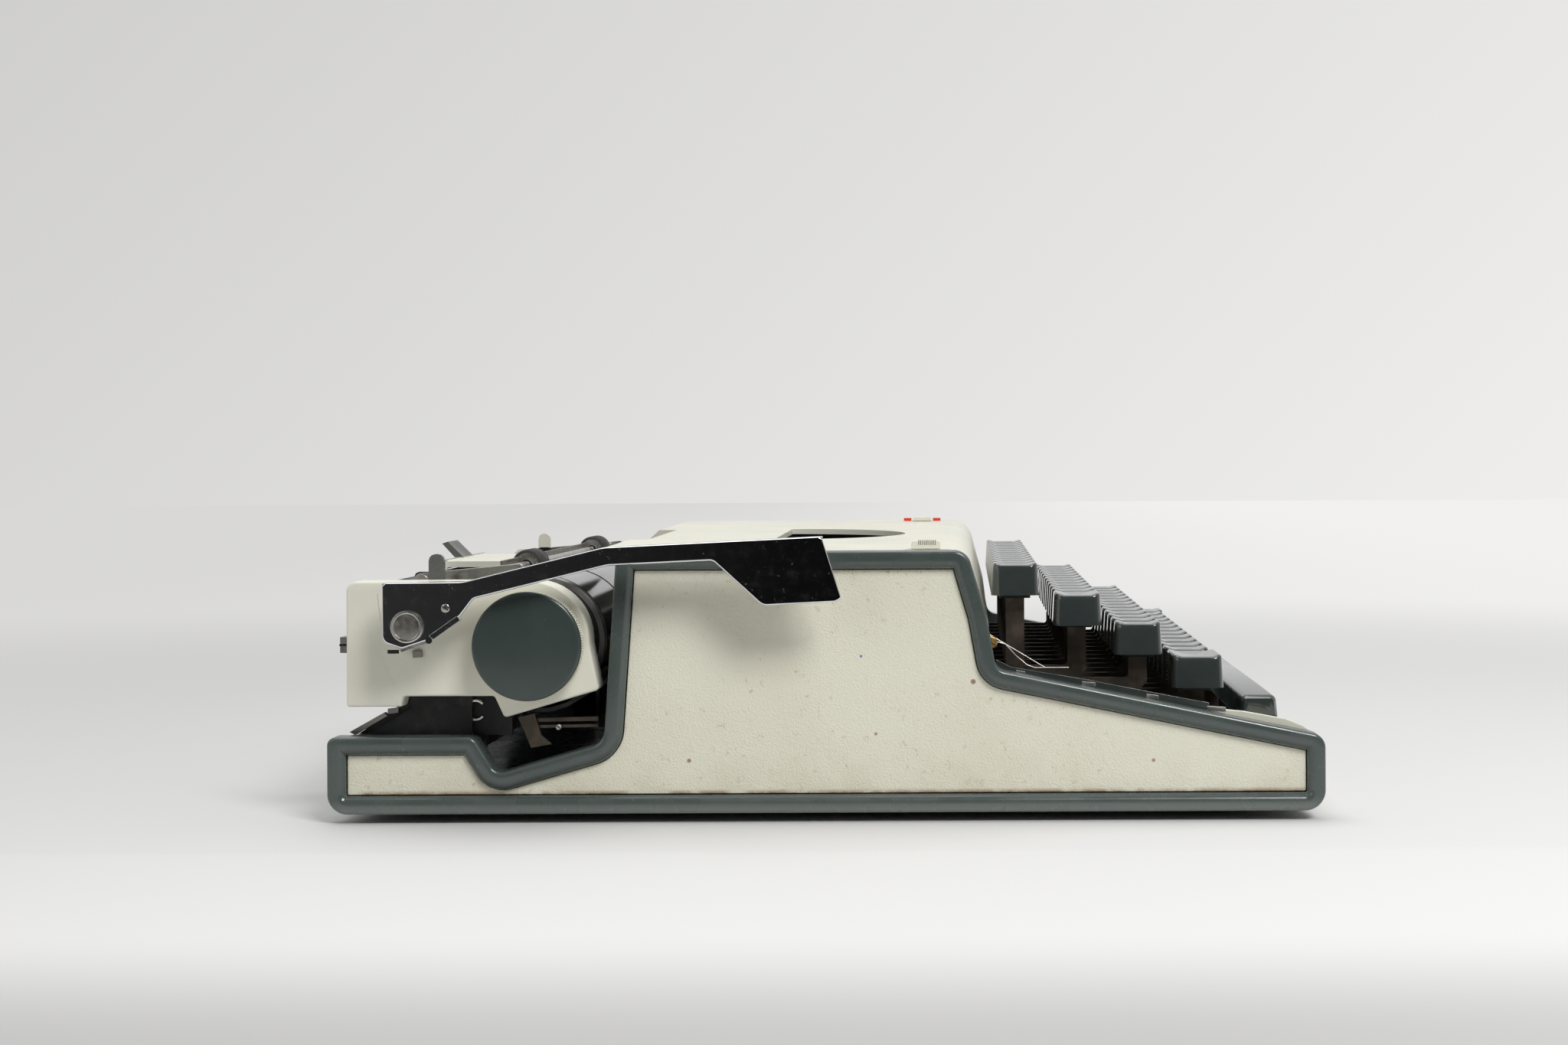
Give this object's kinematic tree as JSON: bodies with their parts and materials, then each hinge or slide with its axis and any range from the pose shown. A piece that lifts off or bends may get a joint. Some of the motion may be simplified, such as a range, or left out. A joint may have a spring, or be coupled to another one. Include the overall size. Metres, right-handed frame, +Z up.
{
  "type": "portable typewriter",
  "caption": "Low portable typewriter with stepped keyboard, lift-up ribbon cover, sliding carriage with platen, paper bail and folded return lever, on rubber feet.",
  "frame": {"origin": "on the table under the middle of the machine, at the bottom of the feet", "axes": "+X to the typist's right, +Y to the rear, +Z up"},
  "size_m": [0.341, 0.33, 0.0954],
  "materials": {
    "cream_plastic": "smooth moulded plastic, satin, slightly yellowed",
    "cream_textured_panel": "fine leather-like grain, with brown stains along the lower edge",
    "grey_green_trim": "glossy dark grey-green plastic",
    "key_plastic": "dark grey moulded plastic, satin on the flanks",
    "black_steel": "blackened sheet steel, oily and dusty",
    "bright_steel": "nickel-plated steel, a little dull",
    "chrome": "polished chrome with small pits",
    "rubber": "black rubber",
    "platen_rubber": "hard polished rubber, pale where it catches the light",
    "ribbon_cloth": "inked cloth ribbon"
  },
  "bodies": {
    "casing": {"left_side_frame": "grey_green_trim", "right_side_frame": "grey_green_trim", "left_side_panel": "cream_textured_panel", "right_side_panel": "cream_textured_panel", "lower_casing": "grey_green_trim", "front_panel": "cream_plastic", "foot_front_left": "rubber", "foot_front_right": "rubber", "foot_rear_left": "rubber", "foot_rear_right": "rubber", "main_chassis": "black_steel", "key_fulcrum_rod": "bright_steel", "carriage_rail": "black_steel", "type_segment": "bright_steel", "typebar_fan": "bright_steel", "ink_ribbon": "ribbon_cloth", "bell": "bright_steel"},
    "centre_typebar": {"centre_typebar": "bright_steel"},
    "ribbon_spool_left": {"ribbon_spool_left": "bright_steel"},
    "ribbon_spool_right": {"ribbon_spool_right": "bright_steel"},
    "ribbon_cover": {"ribbon_cover": "cream_plastic"},
    "touch_selector": {"touch_selector": "cream_plastic"},
    "ribbon_selector": {"ribbon_selector": "cream_plastic"},
    "carriage": {"carriage_frame": "black_steel", "left_end_cover": "cream_plastic", "right_end_cover": "cream_plastic", "paper_table": "black_steel", "margin_rail": "bright_steel", "lever_pivot": "bright_steel"},
    "platen": {"platen": "platen_rubber", "platen_shaft": "bright_steel", "left_platen_knob": "key_plastic", "right_platen_knob": "key_plastic"},
    "paper_support": {"paper_support": "cream_plastic"},
    "paper_bail": {"paper_bail": "bright_steel"},
    "bail_roller_left": {"bail_roller_left": "rubber"},
    "bail_roller_right": {"bail_roller_right": "rubber"},
    "margin_stop_left": {"margin_stop_left": "key_plastic"},
    "margin_stop_right": {"margin_stop_right": "key_plastic"},
    "carriage_release_left": {"carriage_release_left": "key_plastic"},
    "carriage_release_right": {"carriage_release_right": "key_plastic"},
    "paper_release_lever": {"paper_release_lever": "cream_plastic"},
    "return_lever": {"return_lever": "chrome"},
    "shift_bail": {"shift_bail": "key_plastic"},
    "shift_lock_key": {"shift_lock_key": "key_plastic"},
    "margin_release_key": {"margin_release_key": "key_plastic"},
    "backspace_key": {"backspace_key": "key_plastic"},
    "tab_key": {"tab_key": "key_plastic"},
    "space_bar": {"space_bar": "key_plastic"},
    "key_column_01": {"key_column_01": "key_plastic"},
    "key_column_02": {"key_column_02": "key_plastic"},
    "key_column_03": {"key_column_03": "key_plastic"},
    "key_column_04": {"key_column_04": "key_plastic"},
    "key_column_05": {"key_column_05": "key_plastic"},
    "key_column_06": {"key_column_06": "key_plastic"},
    "key_column_07": {"key_column_07": "key_plastic"},
    "key_column_08": {"key_column_08": "key_plastic"},
    "key_column_09": {"key_column_09": "key_plastic"},
    "key_column_10": {"key_column_10": "key_plastic"},
    "key_column_11": {"key_column_11": "key_plastic"}
  },
  "joints": [
    {"name": "carriage_slide", "type": "slide", "parent": "casing", "child": "carriage", "axis": [1, 0, 0], "range_m": [-0.11, 0.012]},
    {"name": "platen_turn", "type": "hinge", "parent": "carriage", "child": "platen", "pos_m": [0, 0.0972, 0.0593], "axis": [1, 0, 0], "continuous": true},
    {"name": "return_lever_fold", "type": "hinge", "parent": "carriage", "child": "return_lever", "pos_m": [-0.1687, 0.1341, 0.0665], "axis": [-1, 0, 0], "range_deg": [0, 28]},
    {"name": "paper_support_fold", "type": "hinge", "parent": "carriage", "child": "paper_support", "pos_m": [0, 0.1514, 0.0809], "axis": [-1, 0, 0], "range_deg": [0, 90]},
    {"name": "paper_bail_lift", "type": "hinge", "parent": "carriage", "child": "paper_bail", "pos_m": [0, 0.1409, 0.0788], "axis": [-1, 0, 0], "range_deg": [0, 40]},
    {"name": "bail_roller_left_spin", "type": "hinge", "parent": "paper_bail", "child": "bail_roller_left", "pos_m": [-0.0735, 0.11172, 0.08254], "axis": [1, 0, 0], "continuous": true},
    {"name": "bail_roller_right_spin", "type": "hinge", "parent": "paper_bail", "child": "bail_roller_right", "pos_m": [0.0735, 0.11172, 0.08254], "axis": [1, 0, 0], "continuous": true},
    {"name": "margin_stop_left_slide", "type": "slide", "parent": "carriage", "child": "margin_stop_left", "axis": [1, 0, 0], "range_m": [-0.03, 0.09]},
    {"name": "margin_stop_right_slide", "type": "slide", "parent": "carriage", "child": "margin_stop_right", "axis": [-1, 0, 0], "range_m": [-0.03, 0.09]},
    {"name": "carriage_release_left_press", "type": "hinge", "parent": "carriage", "child": "carriage_release_left", "pos_m": [-0.1363, 0.1318, 0.068], "axis": [1, 0, 0], "range_deg": [0, 12], "stiffness_Nm_per_rad": 0.03, "springref_deg": -2.86},
    {"name": "carriage_release_right_press", "type": "hinge", "parent": "carriage", "child": "carriage_release_right", "pos_m": [0.1363, 0.1318, 0.068], "axis": [1, 0, 0], "range_deg": [0, 12], "stiffness_Nm_per_rad": 0.03, "springref_deg": -2.86},
    {"name": "paper_release_pull", "type": "hinge", "parent": "carriage", "child": "paper_release_lever", "pos_m": [0.127, 0.1427, 0.068], "axis": [1, 0, 0], "range_deg": [0, 22]},
    {"name": "ribbon_cover_open", "type": "hinge", "parent": "casing", "child": "ribbon_cover", "pos_m": [0, 0.072, 0.088], "axis": [-1, 0, 0], "range_deg": [0, 65]},
    {"name": "touch_selector_slide", "type": "slide", "parent": "ribbon_cover", "child": "touch_selector", "axis": [0, 1, 0], "range_m": [-0.0025, 0.0025]},
    {"name": "ribbon_selector_slide", "type": "slide", "parent": "ribbon_cover", "child": "ribbon_selector", "axis": [0, 1, 0], "range_m": [-0.0025, 0.0025]},
    {"name": "ribbon_spool_left_spin", "type": "hinge", "parent": "casing", "child": "ribbon_spool_left", "pos_m": [-0.099, 0.025, 0.065], "axis": [0, 0, 1], "continuous": true},
    {"name": "ribbon_spool_right_spin", "type": "hinge", "parent": "casing", "child": "ribbon_spool_right", "pos_m": [0.099, 0.025, 0.065], "axis": [0, 0, 1], "continuous": true},
    {"name": "key_column_01_press", "type": "hinge", "parent": "casing", "child": "key_column_01", "pos_m": [-0.09531, 0.03, 0.012], "axis": [1, 0, 0], "range_deg": [0, 3.9], "stiffness_Nm_per_rad": 0.4, "springref_deg": -6.88},
    {"name": "key_column_02_press", "type": "hinge", "parent": "casing", "child": "key_column_02", "pos_m": [-0.07625, 0.03, 0.012], "axis": [1, 0, 0], "range_deg": [0, 3.9], "stiffness_Nm_per_rad": 0.4, "springref_deg": -6.88},
    {"name": "key_column_03_press", "type": "hinge", "parent": "casing", "child": "key_column_03", "pos_m": [-0.05719, 0.03, 0.012], "axis": [1, 0, 0], "range_deg": [0, 3.9], "stiffness_Nm_per_rad": 0.4, "springref_deg": -6.88},
    {"name": "key_column_04_press", "type": "hinge", "parent": "casing", "child": "key_column_04", "pos_m": [-0.03812, 0.03, 0.012], "axis": [1, 0, 0], "range_deg": [0, 3.9], "stiffness_Nm_per_rad": 0.4, "springref_deg": -6.88},
    {"name": "key_column_05_press", "type": "hinge", "parent": "casing", "child": "key_column_05", "pos_m": [-0.01906, 0.03, 0.012], "axis": [1, 0, 0], "range_deg": [0, 3.9], "stiffness_Nm_per_rad": 0.4, "springref_deg": -6.88},
    {"name": "key_column_06_press", "type": "hinge", "parent": "casing", "child": "key_column_06", "pos_m": [0, 0.03, 0.012], "axis": [1, 0, 0], "range_deg": [0, 3.9], "stiffness_Nm_per_rad": 0.4, "springref_deg": -6.88},
    {"name": "key_column_07_press", "type": "hinge", "parent": "casing", "child": "key_column_07", "pos_m": [0.01906, 0.03, 0.012], "axis": [1, 0, 0], "range_deg": [0, 3.9], "stiffness_Nm_per_rad": 0.4, "springref_deg": -6.88},
    {"name": "key_column_08_press", "type": "hinge", "parent": "casing", "child": "key_column_08", "pos_m": [0.03812, 0.03, 0.012], "axis": [1, 0, 0], "range_deg": [0, 3.9], "stiffness_Nm_per_rad": 0.4, "springref_deg": -6.88},
    {"name": "key_column_09_press", "type": "hinge", "parent": "casing", "child": "key_column_09", "pos_m": [0.05719, 0.03, 0.012], "axis": [1, 0, 0], "range_deg": [0, 3.9], "stiffness_Nm_per_rad": 0.4, "springref_deg": -6.88},
    {"name": "key_column_10_press", "type": "hinge", "parent": "casing", "child": "key_column_10", "pos_m": [0.07625, 0.03, 0.012], "axis": [1, 0, 0], "range_deg": [0, 3.9], "stiffness_Nm_per_rad": 0.4, "springref_deg": -6.88},
    {"name": "key_column_11_press", "type": "hinge", "parent": "casing", "child": "key_column_11", "pos_m": [0.09531, 0.03, 0.012], "axis": [1, 0, 0], "range_deg": [0, 3.9], "stiffness_Nm_per_rad": 0.4, "springref_deg": -6.88},
    {"name": "centre_typebar_swing", "type": "hinge", "parent": "casing", "child": "centre_typebar", "pos_m": [0, 0.038, 0.026], "axis": [-1, 0, 0], "range_deg": [0, 103]},
    {"name": "margin_release_key_press", "type": "hinge", "parent": "casing", "child": "margin_release_key", "pos_m": [-0.11438, 0.03, 0.012], "axis": [1, 0, 0], "range_deg": [0, 3.9], "stiffness_Nm_per_rad": 0.12, "springref_deg": -6.88},
    {"name": "backspace_key_press", "type": "hinge", "parent": "casing", "child": "backspace_key", "pos_m": [0.11438, 0.03, 0.012], "axis": [1, 0, 0], "range_deg": [0, 3.9], "stiffness_Nm_per_rad": 0.12, "springref_deg": -6.88},
    {"name": "tab_key_press", "type": "hinge", "parent": "casing", "child": "tab_key", "pos_m": [-0.10961, 0.03, 0.012], "axis": [1, 0, 0], "range_deg": [0, 3.9], "stiffness_Nm_per_rad": 0.12, "springref_deg": -6.88},
    {"name": "shift_lock_key_press", "type": "hinge", "parent": "casing", "child": "shift_lock_key", "pos_m": [-0.11914, 0.03, 0.012], "axis": [1, 0, 0], "range_deg": [0, 3.9], "stiffness_Nm_per_rad": 0.12, "springref_deg": -6.88},
    {"name": "shift_press", "type": "hinge", "parent": "casing", "child": "shift_bail", "pos_m": [0, 0.0417, 0.009], "axis": [1, 0, 0], "range_deg": [0, 3.5], "stiffness_Nm_per_rad": 0.4, "springref_deg": -8.59},
    {"name": "space_bar_press", "type": "hinge", "parent": "casing", "child": "space_bar", "pos_m": [0, -0.075, 0.0135], "axis": [1, 0, 0], "range_deg": [0, 3.5], "stiffness_Nm_per_rad": 0.6, "springref_deg": -6.88}
  ],
  "couplings": [
    {"joint": "centre_typebar_swing", "follows": "key_column_06_press", "ratio": 26.4}
  ]
}
